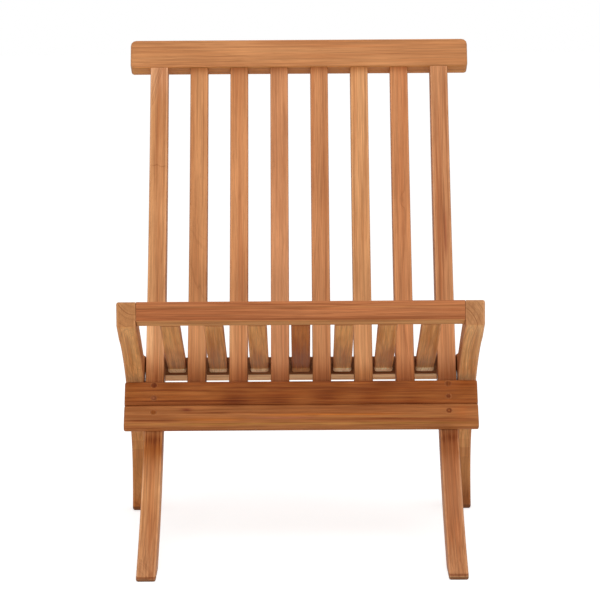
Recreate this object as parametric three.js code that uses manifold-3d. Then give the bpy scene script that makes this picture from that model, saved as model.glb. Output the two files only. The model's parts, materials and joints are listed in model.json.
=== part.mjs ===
// A low folding chair of solid teak. Two curved slatted frames cross in an X and turn about a
// pair of bolts: the back frame (top rail to front feet) and the seat frame (front rail to rear
// feet). The seat slats pass between the back slats, so the frames fold into each other.
//
// Millimetres, +Z up, front towards -Y. Side profiles are drawn in a side view whose first
// coordinate is +Y, whose second is +Z and whose origin is the pivot.
import * as THREE from 'three';
import { mergeVertices } from 'three/addons/utils/BufferGeometryUtils.js';
import Module from 'manifold-3d';

const wasm = await Module();
wasm.setup();

// ---- Driving dimensions: widths across the chair ----
const CHAIR_WIDTH = 550; // over the outer faces of the seat sides
const TOP_RAIL_LENGTH = 554;
const STRIP = 29; // thickness of every sawn side piece and slat
const BACK_STRIPS = 8; // two side pieces and the slats between them
const PIVOT_GAP = 2; // between a seat side and the back side it turns on

// ---- Driving dimensions: back frame ----
const PIVOT_HEIGHT = 236;
const BACK_SLOPE = 51.4; // heading of the front edge beside the pivot, degrees from level
const BACK_FRONT = 25; // pivot to that edge
const BACK_ARCS = [[543, 12.8]]; // up from the pivot: length, turn
const LEG_ARCS = [[30, -1], [130, -14], [282, -16.5]]; // down from the pivot
const BACK_RUNS = [-450, -360, -260, -130, 0, 60, 130, 200, 300, 400, 545]; // along the edge
const BACK_DEPTHS = [34, 36, 41, 43, 49, 50, 52, 49, 44, 39.5, 33]; // front to rear at each run
const SLAT_SETBACK = 1.5; // of the inner slats behind the outer ones, at the top
const TOE_HEIGHT = 8; // of the blunt front end of a front foot

const TOP_RAIL_HEIGHT = 48.5;
const TOP_RAIL_DEPTH = 35;
const TOP_RAIL_CORNERS = { lower: 5, upper: 9 };
const TOP_TENON = { width: 15, depth: 17, length: 26 };

const PLANK_THICKNESS = 15;
const PLANK_WIDTH = 43;
const PLANK_TOP_RUN = -25.2; // where the upper plank's top edge meets the legs
const PLANK_SEAM = 1;
const PLANK_NOSE = 8; // rounding of the lower plank's lower front edge
const PLANK_CORNER = 5;

// ---- Driving dimensions: seat frame ----
const SEAT_SLOPE = -40.2; // heading of the underside below the pivot
const SEAT_UNDER = 16; // pivot to that underside
const SEAT_ARCS = [[161, 15.2], [120, 0]]; // forward from the pivot
const REAR_LEG_ARCS = [[133, 0], [84, -50.2], [80, -24]]; // back and down from the pivot
const SEAT_RUNS = [-280, -163, -95, -50, -12, 21, 50, 80, 115, 155, 200, 240, 300];
const SEAT_DEPTHS = [37.5, 30, 30.5, 35, 53, 72, 76, 73, 65, 55, 45.5, 39, 35];
const SEAT_REACH = 246; // pivot to the lower corner of the front face, level
const FRONT_TILT = 3; // of the front face, top towards the rear
const FRONT_CORNER = 4; // rounding of the front face's two corners

const FRONT_RAIL_HEIGHT = 31.3;
const FRONT_RAIL_DEPTH = 24;
const FRONT_RAIL_SLOPE = -27;
const FRONT_RAIL_REAR_CORNER = 2;
const LAND_STEP = 0.1; // of the square land round the rail's end below the side's faces
const CROSSBAR_HEIGHT = 33;
const CROSSBAR_DEPTH = 23;
const CROSSBAR_RUN = 38; // up the back from the pivot to the crossbar's middle
const CROSSBAR_CORNER = 4;
const RAIL_TENON = { thickness: 12, height: 16, length: 16 };

const SEAT_SLAT_THICKNESS = { front: 13, rear: 18 };
const SEAT_SLAT_STEP = 18; // front rail's top edge above the slats
const SEAT_SLAT_DROP = 6; // crossbar's top edge above the slats
const SEAT_SLAT_HEEL = { length: 7, drop: 5 }; // a slat's thicker end, at the crossbar
const SEAT_SLAT_TENON = { width: 19, thickness: 7, length: 10, shoulder: 2.5 };

// ---- Driving dimensions: fastenings ----
const BOLT_RADIUS = 4;
const BOLT_HEAD = { radius: 8, height: 4 };
const HEAD_SUNK = 1.1; // below the face of the seat side
const NUT_ACROSS_FLATS = 13;
const NUT_HEIGHT = 6.5;
const WASHER = { radius: 8.5, thickness: 1.6 };
const SPACER_RADIUS = 12;
const SCREW = {
  radius: 2.2, headRadius: 4, headRim: 0.6, headHeight: 3, length: 38, point: 5, tip: 0.5,
};
const PLUG = { radius: 5, length: 5 };
const UPPER_SCREWS = [8, 31]; // down from the upper plank's top edge
const LOWER_SCREWS = [15]; // down from the lower plank's top edge
const DOWEL = { radius: 4, inPlank: 9, inSlat: 20 };

// ---- Clearances and finish ----
const FIT = 0.3; // between fixed pieces that meet
const RUNNING = 0.1; // round a bolt in the side that turns on it
const STOP_GAP = 0.4; // crossbar to the back slats it stops on
const EASE = 3; // rounding of the long edges
const PLANK_EASE = 2.5; // rounding of a plank's edges
const RAIL_EASE = 1; // rounding of the ends of the front rail and the crossbar
const CORNER = 7; // rounding of the corners of a profile
const THROUGH = 1; // that a cut runs past the face it opens
const SHARP = 25; // least turn that counts as a corner, degrees
const SAG = 0.3; // of a chord below a curved edge
const SHORTEST_CHORD = 10;
const LONGEST_CHORD = 80;
const SEARCH_STEP = 20; // along an edge, when looking for where it ends
const ROUND_SEGMENTS = 20;
const SMALL_ROUND_SEGMENTS = 12;

// ---- Derived sizes ----
const rad = THREE.MathUtils.degToRad;
const seatSideX = (CHAIR_WIDTH - STRIP) / 2;
const backSideX = seatSideX - STRIP - PIVOT_GAP;
const backPitch = (2 * backSideX) / (BACK_STRIPS - 1);
const betweenSides = CHAIR_WIDTH - 2 * STRIP;
const topRun = BACK_ARCS.reduce((sum, [length]) => sum + length, 0);
const LONGEST_RUN = 4 * PIVOT_HEIGHT;

const TEAK = { color: 0xb9794a, roughness: 0.62, metalness: 0 };
const DARK_TEAK = { color: 0x9c5a30, roughness: 0.6, metalness: 0 };
const STEEL = { color: 0xb8b6b0, roughness: 0.35, metalness: 1 };

// ---- Side-view geometry ----
const heading = (angle) => new THREE.Vector2(Math.cos(angle), Math.sin(angle));
const leftOf = (angle) => new THREE.Vector2(-Math.sin(angle), Math.cos(angle));

// A point moved along a heading and then to its left.
function shifted(point, angle, ahead, left) {
  return point.clone().addScaledVector(heading(angle), ahead).addScaledVector(leftOf(angle), left);
}

// An edge of tangent arcs, each [length, turn in degrees]. The last arc runs on past its end.
function arcEdge(start, angleAtStart, arcs) {
  return (run) => {
    let point = start;
    let angle = angleAtStart;
    let left = run;
    arcs.forEach(([length, turn], index) => {
      const used = index === arcs.length - 1 ? left : Math.min(left, length);
      const bend = (rad(turn) * used) / length;
      const chord = Math.abs(bend) < 1e-9 ? used : (used * Math.sin(bend / 2)) / (bend / 2);
      point = shifted(point, angle + bend / 2, chord, 0);
      angle += bend;
      left -= used;
    });
    return { point, angle };
  };
}

// One edge carried both ways from its start: ahead for positive runs, astern for negative ones.
function edgeThrough(start, angle, aheadArcs, asternArcs) {
  const ahead = arcEdge(start, angle, aheadArcs);
  const astern = arcEdge(start, angle + Math.PI, asternArcs);
  return (run) => {
    if (run >= 0) return ahead(run);
    const end = astern(-run);
    return { point: end.point, angle: end.angle - Math.PI };
  };
}

// A depth that varies smoothly along an edge.
function depthLaw(runs, depths) {
  const curve = new THREE.CubicInterpolant(runs, depths, 1);
  return (run) => curve.evaluate(run)[0];
}

// The edge that lies to the left of another by a varying distance.
function besideEdge(edge, distance) {
  return (run) => {
    const { point, angle } = edge(run);
    return { point: shifted(point, angle, 0, distance(run)), angle };
  };
}

// The first run beyond a start at which a test of the edge's point changes sign. It is looked for
// in steps, ahead if the step is positive and astern if it is negative.
function runWhere(edge, start, step, test) {
  const before = test(edge(start).point) > 0;
  const passed = (run) => test(edge(run).point) > 0 !== before;
  let near = start;
  while (!passed(near + step) && Math.abs(near - start) < LONGEST_RUN) near += step;
  let far = near + step;
  for (let halving = 0; halving < 40; halving += 1) {
    const middle = (near + far) / 2;
    if (passed(middle)) far = middle;
    else near = middle;
  }
  return near;
}

// Points along an edge, close enough together for the chords between them to follow it.
function samples(edge, from, to) {
  const half = (from + to) / 2;
  const start = edge(from).point;
  const end = edge(to).point;
  const chord = end.clone().sub(start);
  const span = chord.length();
  const sag = Math.abs(chord.cross(edge(half).point.sub(start))) / span;
  if (span < 2 * SHORTEST_CHORD || (sag < SAG && span < LONGEST_CHORD)) return [start, end];
  return [...samples(edge, from, half), ...samples(edge, half, to).slice(1)];
}

// Rounds every sharp corner of an outline with an arc. Single corners may have their own radius.
function easeCorners(points, radiusOf = () => CORNER) {
  return points.flatMap((point, index) => {
    const arriving = point.clone().sub(points.at(index - 1));
    const leaving = points[(index + 1) % points.length].clone().sub(point);
    const turn = Math.atan2(arriving.cross(leaving), arriving.dot(leaving));
    if (Math.abs(turn) < rad(SHARP)) return [point];
    const slack = 0.45 * Math.min(arriving.length(), leaving.length());
    const radius = Math.min(radiusOf(index), slack / Math.abs(Math.tan(turn / 2)));
    const length = radius * Math.abs(turn);
    const cut = radius * Math.abs(Math.tan(turn / 2));
    const start = point.clone().addScaledVector(arriving.clone().normalize(), -cut);
    const round = arcEdge(start, arriving.angle(), [[length, THREE.MathUtils.radToDeg(turn)]]);
    return [0, 1 / 3, 2 / 3, 1].map((share) => round(share * length).point);
  });
}

// A rectangle set along a heading: its start edge, its length, and its two sides to the left.
function block(origin, angle, length, right, left) {
  return [
    shifted(origin, angle, 0, right),
    shifted(origin, angle, length, right),
    shifted(origin, angle, length, left),
    shifted(origin, angle, 0, left),
  ];
}

// ---- Solids ----
const SIDE_VIEW = new THREE.Matrix4().makeBasis(
  new THREE.Vector3(0, 1, 0),
  new THREE.Vector3(0, 0, 1),
  new THREE.Vector3(1, 0, 0),
);

// A side profile given its thickness across the chair, with the long edges rounded by `ease`.
function sawn(outline, thickness, ease = EASE) {
  const geometry = new THREE.ExtrudeGeometry(new THREE.Shape(outline), {
    depth: thickness - 2 * ease,
    bevelEnabled: ease > 0,
    bevelThickness: ease,
    bevelSize: ease,
    bevelOffset: -ease,
    bevelSegments: 2,
  });
  geometry.translate(0, 0, ease - thickness / 2);
  return geometry.applyMatrix4(SIDE_VIEW);
}

// Carries a shape drawn with its y along a heading and its z to the left of it into place.
function setAt(geometry, point, angle) {
  return geometry.rotateX(angle).translate(0, point.x, point.y);
}

// A cylinder that runs across the chair, centred on x.
function crossCylinder(radius, length, x = 0, segments = ROUND_SEGMENTS) {
  return new THREE.CylinderGeometry(radius, radius, length, segments)
    .rotateZ(Math.PI / 2)
    .translate(x, 0, 0);
}

function toSolid(geometry) {
  const bare = geometry.clone();
  bare.deleteAttribute('normal');
  bare.deleteAttribute('uv');
  const merged = mergeVertices(bare, 1e-4);
  return new wasm.Manifold(new wasm.Mesh({
    numProp: 3,
    vertProperties: merged.attributes.position.array,
    triVerts: Uint32Array.from(merged.index.array),
  }));
}

function toGeometry(solid) {
  const mesh = solid.getMesh();
  const geometry = new THREE.BufferGeometry();
  const position = new THREE.BufferAttribute(Float32Array.from(mesh.vertProperties), 3);
  geometry.setAttribute('position', position);
  geometry.setIndex(new THREE.BufferAttribute(Uint32Array.from(mesh.triVerts), 1));
  geometry.computeVertexNormals();
  return geometry;
}

// A body with pieces joined to it and then others cut out of it.
function carved(body, joined, cut) {
  let solid = toSolid(body);
  for (const piece of joined) solid = solid.add(toSolid(piece));
  for (const piece of cut) solid = solid.subtract(toSolid(piece));
  return toGeometry(solid);
}

// Everything beyond a plane square to a heading.
function beyond(point, angle) {
  const size = 2 * CHAIR_WIDTH;
  return setAt(new THREE.BoxGeometry(size, size, size).translate(0, size / 2, 0), point, angle);
}

// A tenon that stands out of a plane along a heading, or its mortise when given a clearance.
function tenon(width, height, length, point, angle, clearance = 0) {
  const root = EASE;
  const box = new THREE.BoxGeometry(
    width + 2 * clearance,
    length + root + clearance,
    height + 2 * clearance,
  );
  return setAt(box.translate(0, (length - root + clearance) / 2, 0), point, angle);
}

function part(name, geometry, finish) {
  const mesh = new THREE.Mesh(geometry, new THREE.MeshStandardMaterial(finish));
  mesh.name = name;
  return mesh;
}

const backFrame = new THREE.Group();
const seatFrame = new THREE.Group();
const onFloor = (point) => point.y + PIVOT_HEIGHT;

// ---- Back frame: the curve that all its strips share ----
const backAngle = rad(BACK_SLOPE);
const backFront = edgeThrough(
  new THREE.Vector2().addScaledVector(leftOf(backAngle), BACK_FRONT),
  backAngle,
  BACK_ARCS,
  LEG_ARCS,
);
const backDepth = depthLaw(BACK_RUNS, BACK_DEPTHS);
const backRear = besideEdge(backFront, (run) => -backDepth(run));
const slatFront = besideEdge(backFront, (run) => (-SLAT_SETBACK * Math.max(run, 0)) / topRun);
const shoulder = backFront(topRun);

// ---- Planks across the front legs ----
// Each lies along the chord of the legs' hollow front edge.
function plankSeat(topEdgeRun) {
  const top = backFront(topEdgeRun).point;
  const bottom = backFront(topEdgeRun - PLANK_WIDTH).point;
  const angle = top.clone().sub(bottom).angle();
  return { origin: shifted(bottom, angle, 0, FIT), angle };
}

const lowerTopRun = PLANK_TOP_RUN - PLANK_WIDTH - PLANK_SEAM;
const upperSeat = plankSeat(PLANK_TOP_RUN);
const lowerSeat = plankSeat(lowerTopRun);

// A turned profile sunk from a plank's face, a given way down from its top edge.
function sunk(profile, seat, down) {
  const onFace = shifted(seat.origin, seat.angle, PLANK_WIDTH - down, PLANK_THICKNESS);
  const lathe = new THREE.LatheGeometry(
    profile.map(([radius, depth]) => new THREE.Vector2(radius, depth)),
    SMALL_ROUND_SEGMENTS,
  );
  return setAt(lathe.rotateX(-Math.PI / 2), onFace, seat.angle);
}

const screwTop = PLUG.length + 2 * FIT;
const screwProfile = [
  [0, screwTop],
  [SCREW.headRadius, screwTop],
  [SCREW.headRadius, screwTop + SCREW.headRim],
  [SCREW.radius, screwTop + SCREW.headHeight],
  [SCREW.radius, screwTop + SCREW.length - SCREW.point],
  [SCREW.tip, screwTop + SCREW.length],
  [0, screwTop + SCREW.length],
];
const rod = (radius, from, to) => [[0, from], [radius, from], [radius, to], [0, to]];
const plugProfile = rod(PLUG.radius, 0, PLUG.length);
const screwHole = [
  [0, -THROUGH],
  [PLUG.radius + FIT, -THROUGH],
  [PLUG.radius + FIT, screwTop],
  [SCREW.headRadius + FIT, screwTop],
  [SCREW.headRadius + FIT, screwTop + SCREW.headRim + FIT],
  [SCREW.radius + FIT, screwTop + SCREW.headHeight + FIT],
  [SCREW.radius + FIT, screwTop + SCREW.length + FIT],
  [0, screwTop + SCREW.length + FIT],
];

const screwPlaces = [
  ...UPPER_SCREWS.map((down) => ({ seat: upperSeat, down })),
  ...LOWER_SCREWS.map((down) => ({ seat: lowerSeat, down })),
];
const holesFor = (wanted) => screwPlaces
  .filter(({ seat }) => wanted.includes(seat))
  .map(({ seat, down }) => sunk(screwHole, seat, down));
const atSides = (geometries) => [-backSideX, backSideX].flatMap(
  (x) => geometries.map((geometry) => geometry.clone().translate(x, 0, 0)),
);

// Dowels between the upper plank and the inner slats.
const dowelDown = PLANK_WIDTH / 2;
const dowelTop = PLANK_THICKNESS - DOWEL.inPlank;
const dowelEnd = PLANK_THICKNESS + DOWEL.inSlat;
const dowel = sunk(rod(DOWEL.radius, dowelTop, dowelEnd), upperSeat, dowelDown);
const dowelHole = sunk(
  rod(DOWEL.radius + FIT, dowelTop - FIT, dowelEnd + FIT),
  upperSeat,
  dowelDown,
);
const innerSlatX = Array.from(
  { length: BACK_STRIPS - 2 },
  (_, i) => -backSideX + backPitch * (i + 1),
);
const atSlats = (geometry) => innerSlatX.map((x) => geometry.clone().translate(x, 0, 0));

function plank(seat, nose) {
  const outline = block(seat.origin, seat.angle, PLANK_WIDTH, 0, PLANK_THICKNESS);
  const lowerFront = outline.length - 1;
  const eased = easeCorners(outline, (index) => (index === lowerFront ? nose : PLANK_CORNER));
  return sawn(eased, CHAIR_WIDTH, PLANK_EASE);
}

backFrame.add(
  part(
    'upper_plank',
    carved(plank(upperSeat, PLANK_CORNER), [], [
      ...atSides(holesFor([upperSeat])),
      ...atSlats(dowelHole),
    ]),
    DARK_TEAK,
  ),
  part(
    'lower_plank',
    carved(plank(lowerSeat, PLANK_NOSE), [], atSides(holesFor([lowerSeat]))),
    DARK_TEAK,
  ),
);

// Adds one copy of a piece at each place across the chair, numbered from the left.
function addCopies(group, name, geometries, finish) {
  geometries.forEach((geometry, index) => {
    group.add(part(`${name}_${index + 1}`, geometry, finish));
  });
}

const turnedAt = (profile) => atSides(
  screwPlaces.map(({ seat, down }) => sunk(profile, seat, down)),
);
addCopies(backFrame, 'plank_screw', turnedAt(screwProfile), STEEL);
addCopies(backFrame, 'plank_plug', turnedAt(plugProfile), DARK_TEAK);
addCopies(backFrame, 'plank_dowel', atSlats(dowel), TEAK);

// ---- Back strips ----
// A strip's shoulder is square, with a tenon for the top rail standing out of it.
const tenonRoot = shifted(shoulder.point, shoulder.angle, 0, -backDepth(topRun) / 2);
const topTenon = (clearance) => tenon(
  TOP_TENON.width,
  TOP_TENON.depth,
  TOP_TENON.length,
  tenonRoot,
  shoulder.angle,
  clearance,
);

function backStrip(front, frontStart, rearStart, toe, cuts) {
  const end = topRun + 2 * EASE;
  const outline = [
    ...toe,
    ...samples(front, frontStart, end),
    ...samples(backRear, rearStart, end).reverse(),
  ];
  const blank = sawn(easeCorners(outline), STRIP);
  const squared = carved(blank, [], [beyond(shoulder.point, shoulder.angle)]);
  return carved(squared, [topTenon(0)], cuts);
}

const toeRun = runWhere(backFront, 0, -SEARCH_STEP, (point) => onFloor(point) - TOE_HEIGHT);
const toe = backFront(toeRun).point.sub(new THREE.Vector2(0, TOE_HEIGHT));
const heelRun = runWhere(backRear, 0, -SEARCH_STEP, onFloor);
const pivotBore = (clearance) => crossCylinder(BOLT_RADIUS + clearance, STRIP + 2 * THROUGH);
const nutRecess = WASHER.thickness + NUT_HEIGHT + 3 * FIT;
const slatEndRun = lowerTopRun + PLANK_SEAM + EASE;

for (const [side, sign] of [['left', -1], ['right', 1]]) {
  const recessX = sign * (nutRecess - THROUGH - STRIP) / 2;
  const strip = part(
    `back_side_${side}`,
    backStrip(backFront, toeRun, heelRun, [toe], [
      pivotBore(FIT),
      crossCylinder(WASHER.radius + FIT, nutRecess + THROUGH, recessX),
      ...holesFor([upperSeat, lowerSeat]),
    ]),
    TEAK,
  );
  strip.position.x = sign * backSideX;
  backFrame.add(strip);
}

const innerStrip = backStrip(slatFront, slatEndRun, slatEndRun, [], [dowelHole]);
innerSlatX.forEach((x, index) => {
  const slat = part(`back_slat_${index + 1}`, innerStrip, TEAK);
  slat.position.x = x;
  backFrame.add(slat);
});

// ---- Top rail ----
// Drawn in the slats' own frame: y up the slat, z towards the front, front faces flush.
function topRail() {
  const half = TOP_RAIL_LENGTH / 2;
  const outline = [
    new THREE.Vector2(-half, 0),
    new THREE.Vector2(half, 0),
    new THREE.Vector2(half, TOP_RAIL_HEIGHT),
    new THREE.Vector2(-half, TOP_RAIL_HEIGHT),
  ];
  const { lower, upper } = TOP_RAIL_CORNERS;
  const corners = [lower, lower, upper, upper];
  const rail = new THREE.ExtrudeGeometry(
    new THREE.Shape(easeCorners(outline, (index) => corners[index])),
    {
      depth: TOP_RAIL_DEPTH - 2 * EASE,
      bevelThickness: EASE,
      bevelSize: EASE,
      bevelOffset: -EASE,
      bevelSegments: 2,
    },
  );
  rail.translate(0, FIT, EASE - TOP_RAIL_DEPTH);
  const mortises = [-backSideX, ...innerSlatX, backSideX].map(
    (x) => topTenon(FIT).translate(x, 0, 0),
  );
  return carved(setAt(rail, shoulder.point, shoulder.angle), [], mortises);
}

backFrame.add(part('top_rail', topRail(), TEAK));

// ---- Seat frame: the curve of its two sides ----
const seatAngle = rad(SEAT_SLOPE);
const seatUnder = edgeThrough(
  new THREE.Vector2().addScaledVector(leftOf(seatAngle), -SEAT_UNDER),
  seatAngle,
  REAR_LEG_ARCS,
  SEAT_ARCS,
);
const seatTop = besideEdge(seatUnder, depthLaw(SEAT_RUNS, SEAT_DEPTHS));

// The front face leans back from a line through its lower corner.
const faceAngle = rad(90 - FRONT_TILT);
const behindFace = (corner) => (point) => -leftOf(faceAngle).dot(point.clone().sub(corner));
const levelReach = (point) => point.x + SEAT_REACH;
const underFrontRun = runWhere(seatUnder, 0, -SEARCH_STEP, levelReach);
const lowerCorner = seatUnder(underFrontRun).point;
const topFrontRun = runWhere(seatTop, 0, -SEARCH_STEP, behindFace(lowerCorner));
const upperCorner = seatTop(topFrontRun).point;

// ---- Front rail and rear crossbar ----
// The rail's front face lies in the sides' front face, and its top in the seat's top.
const railAngle = rad(FRONT_RAIL_SLOPE);
const railDown = shifted(upperCorner, faceAngle, -FRONT_RAIL_HEIGHT, 0);
const railTopRear = shifted(upperCorner, railAngle, FRONT_RAIL_DEPTH, 0);
const railBottomRear = shifted(railDown, railAngle, FRONT_RAIL_DEPTH, 0);
const railOutline = [railDown, railBottomRear, railTopRear, upperCorner];
const railCorners = [FRONT_CORNER, FRONT_RAIL_REAR_CORNER, FRONT_RAIL_REAR_CORNER, FRONT_CORNER];
const railCentre = upperCorner.clone().add(railBottomRear).multiplyScalar(0.5);

// The crossbar's front face lies along the rear edges of the back slats.
const barSeat = backRear(CROSSBAR_RUN);
const barOrigin = shifted(barSeat.point, barSeat.angle, -CROSSBAR_HEIGHT / 2, -STOP_GAP);
const barOutline = block(barOrigin, barSeat.angle, CROSSBAR_HEIGHT, -CROSSBAR_DEPTH, 0);
const barCentre = shifted(barOrigin, barSeat.angle, CROSSBAR_HEIGHT / 2, -CROSSBAR_DEPTH / 2);

// A tenon across the chair, standing out of a rail's end at x, or its mortise.
function endTenon(centre, angle, x, clearance = 0) {
  const box = new THREE.BoxGeometry(
    RAIL_TENON.length + EASE + clearance,
    RAIL_TENON.height + 2 * clearance,
    RAIL_TENON.thickness + 2 * clearance,
  );
  const middle = x + (Math.sign(x) * (RAIL_TENON.length - EASE + clearance)) / 2;
  return setAt(box, centre, angle).translate(middle, 0, 0);
}

const railEnds = (centre, angle, clearance) => [-1, 1].map(
  (sign) => endTenon(centre, angle, (sign * betweenSides) / 2, clearance),
);

// ---- Seat slats ----
// They are straight on top and thicken towards the crossbar.
const railFace = railTopRear.clone().sub(railBottomRear).angle();
const slatStart = shifted(railTopRear, railFace, -SEAT_SLAT_STEP, 0);
const slatFinish = shifted(barOrigin, barSeat.angle, CROSSBAR_HEIGHT - SEAT_SLAT_DROP, 0);
const slatLength = slatStart.distanceTo(slatFinish);
const slatAngle = slatFinish.clone().sub(slatStart).angle();
const slatTop = (run) => ({ point: shifted(slatStart, slatAngle, run, 0), angle: slatAngle });
const slatThickness = (run) => THREE.MathUtils.lerp(
  SEAT_SLAT_THICKNESS.front,
  SEAT_SLAT_THICKNESS.rear,
  run / slatLength,
);
const slatUnder = besideEdge(slatTop, (run) => -slatThickness(run));
const slatHeel = besideEdge(slatTop, (run) => -slatThickness(run) - SEAT_SLAT_HEEL.drop);
const slatTenonDown = SEAT_SLAT_TENON.shoulder + SEAT_SLAT_TENON.thickness / 2;
const slatTenonLine = besideEdge(slatTop, () => -slatTenonDown);

// Where a slat meets the faces it is tenoned into.
const inFrontOfRail = (point) => leftOf(railFace).dot(point.clone().sub(railTopRear));
const beforeBar = (point) => leftOf(barSeat.angle).dot(point.clone().sub(barOrigin));
const tenonFrontRun = runWhere(slatTenonLine, slatLength / 2, -SEARCH_STEP, inFrontOfRail);
const tenonRearRun = runWhere(slatTenonLine, slatLength / 2, SEARCH_STEP, beforeBar);
const slatEnds = [
  { ...slatTenonLine(tenonFrontRun), turned: Math.PI },
  { ...slatTenonLine(tenonRearRun), turned: 0 },
];
const slatTenons = (clearance) => slatEnds.map(({ point, angle, turned }) => tenon(
  SEAT_SLAT_TENON.width,
  SEAT_SLAT_TENON.thickness,
  SEAT_SLAT_TENON.length,
  point,
  angle + turned,
  clearance,
));

function seatSlat() {
  const over = 3 * EASE;
  const heelRun = tenonRearRun - SEAT_SLAT_HEEL.length;
  const outline = [
    ...samples(slatUnder, -over, heelRun),
    ...samples(slatHeel, heelRun + SEAT_SLAT_HEEL.drop / 2, slatLength + over),
    ...samples(slatTop, -over, slatLength + over).reverse(),
  ];
  const railPlane = shifted(railTopRear, railFace, 0, -FIT);
  const barPlane = shifted(barOrigin, barSeat.angle, 0, FIT);
  const squared = carved(sawn(outline, STRIP), [], [
    beyond(railPlane, railFace + Math.PI / 2),
    beyond(barPlane, barSeat.angle - Math.PI / 2),
  ]);
  return carved(squared, slatTenons(0), []);
}

const seatSlatX = Array.from(
  { length: BACK_STRIPS - 1 },
  (_, i) => -backSideX + backPitch * (i + 0.5),
);
const slatMortises = (index) => seatSlatX.map(
  (x) => slatTenons(FIT)[index].translate(x, 0, 0),
);
const seatSlatSolid = seatSlat();
seatSlatX.forEach((x, index) => {
  const slat = part(`seat_slat_${index + 1}`, seatSlatSolid, TEAK);
  slat.position.x = x;
  seatFrame.add(slat);
});

const railLength = betweenSides - 2 * FIT;
seatFrame.add(
  part(
    'front_rail',
    carved(
      sawn(easeCorners(railOutline, (index) => railCorners[index]), railLength, RAIL_EASE),
      railEnds(railCentre, railAngle, 0),
      slatMortises(0),
    ),
    TEAK,
  ),
  part(
    'rear_crossbar',
    carved(
      sawn(easeCorners(barOutline, () => CROSSBAR_CORNER), railLength, RAIL_EASE),
      railEnds(barCentre, barSeat.angle, 0),
      slatMortises(1),
    ),
    TEAK,
  ),
);

// ---- Seat sides ----
const rearToeRun = runWhere(seatUnder, 0, SEARCH_STEP, onFloor);
const rearHeelRun = runWhere(seatTop, 0, SEARCH_STEP, onFloor);
const headRecess = WASHER.thickness + BOLT_HEAD.height + HEAD_SUNK + 2 * FIT;

// The front rail's outline a little smaller, for a land that keeps the side's inner edges square
// where the rail meets them.
const landOutline = easeCorners(railOutline, (index) => railCorners[index]).map((point) => {
  const inwards = railCentre.clone().sub(point).normalize();
  return point.clone().addScaledVector(inwards, LAND_STEP);
});

function seatSide(sign) {
  const outline = [
    ...samples(seatUnder, underFrontRun, rearToeRun),
    ...samples(seatTop, topFrontRun, rearHeelRun).reverse(),
  ];
  const atFront = [0, outline.length - 1];
  const eased = easeCorners(
    outline,
    (index) => (atFront.includes(index) ? FRONT_CORNER : CORNER),
  );
  const inner = -sign * seatSideX;
  const landWidth = EASE + 2 * LAND_STEP + RAIL_EASE;
  const land = sawn(landOutline, landWidth, RAIL_EASE)
    .translate((-sign * (STRIP - landWidth)) / 2, 0, 0);
  const recessX = (sign * (STRIP - headRecess + THROUGH)) / 2;
  const mortises = [
    ...railEnds(railCentre, railAngle, FIT),
    ...railEnds(barCentre, barSeat.angle, FIT),
  ].map((box) => box.translate(inner, 0, 0));
  return carved(sawn(eased, STRIP), [land], [
    pivotBore(RUNNING),
    crossCylinder(WASHER.radius + FIT, headRecess + THROUGH, recessX),
    ...mortises,
  ]);
}

for (const [side, sign] of [['left', -1], ['right', 1]]) {
  const piece = part(`seat_side_${side}`, seatSide(sign), TEAK);
  piece.position.x = sign * seatSideX;
  seatFrame.add(piece);
}

// ---- Pivot hardware, from the outer face inwards ----
const recessFloor = CHAIR_WIDTH / 2 - headRecess;
const headX = recessFloor + WASHER.thickness + 2 * FIT;
const innerFace = backSideX - STRIP / 2;
const nutFloor = innerFace + nutRecess;
const boltEnd = innerFace + FIT;

// A flat ring that runs across the chair from x, with a hole for the bolt.
function ring(radius, from, thickness, segments = ROUND_SEGMENTS) {
  const middle = from + thickness / 2;
  return carved(
    crossCylinder(radius, thickness, middle, segments),
    [],
    [crossCylinder(BOLT_RADIUS + FIT, thickness + 2 * THROUGH, middle)],
  );
}

const bolt = carved(
  crossCylinder(BOLT_HEAD.radius, BOLT_HEAD.height, headX + BOLT_HEAD.height / 2),
  [crossCylinder(BOLT_RADIUS, headX - boltEnd + 1, (headX + boltEnd + 1) / 2)],
  [],
);
const hardware = {
  pivot_bolt: bolt,
  head_washer: ring(WASHER.radius, recessFloor + FIT, WASHER.thickness),
  pivot_spacer: ring(SPACER_RADIUS, backSideX + STRIP / 2 + FIT, PIVOT_GAP - 2 * FIT),
  nut_washer: ring(WASHER.radius, nutFloor - FIT - WASHER.thickness, WASHER.thickness),
  pivot_nut: ring(
    NUT_ACROSS_FLATS / 2 / Math.cos(Math.PI / 6),
    nutFloor - 2 * FIT - WASHER.thickness - NUT_HEIGHT,
    NUT_HEIGHT,
    6,
  ),
};
for (const [name, geometry] of Object.entries(hardware)) {
  backFrame.add(
    part(`${name}_left`, geometry.clone().rotateZ(Math.PI), STEEL),
    part(`${name}_right`, geometry, STEEL),
  );
}

// ---- The chair, its origin on the floor under the middle of its bounding box ----
const frames = new THREE.Group();
frames.add(backFrame, seatFrame);
const extent = new THREE.Box3().setFromObject(frames);
frames.position.set(0, -(extent.min.y + extent.max.y) / 2, PIVOT_HEIGHT);

const chair = new THREE.Group();
chair.name = 'folding_chair';
chair.add(frames);

export default chair;
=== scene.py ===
import json
import math
import random
import re

import bpy
import numpy
from mathutils import Matrix, Vector


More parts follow.
